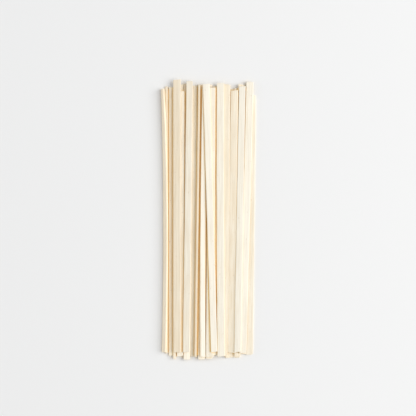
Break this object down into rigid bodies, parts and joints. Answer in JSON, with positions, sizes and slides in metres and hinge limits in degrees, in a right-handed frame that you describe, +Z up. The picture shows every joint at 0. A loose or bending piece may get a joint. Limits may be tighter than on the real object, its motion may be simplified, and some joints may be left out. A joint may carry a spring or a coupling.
{
  "type": "bundle of dried noodles",
  "caption": "Loose flat bundle of straight dried wheat noodles: wide pale ribbons laid side by side and on each other, ends uneven, one ribbon slanting across the top.",
  "frame": {"origin": "on the surface that the bundle lies on, under the middle of its outline", "axes": "+Y along the strands, +X across the bundle, to the right as seen from above with +Y away, +Z up"},
  "size_m": [0.0776, 0.2292, 0.0062],
  "materials": {
    "dried_dough": "matt dried wheat dough, warm ivory, faintly streaked along the strand and slightly translucent at thin edges"
  },
  "bodies": {
    "root": {"noodle_bundle": "dried_dough"}
  },
  "joints": []
}
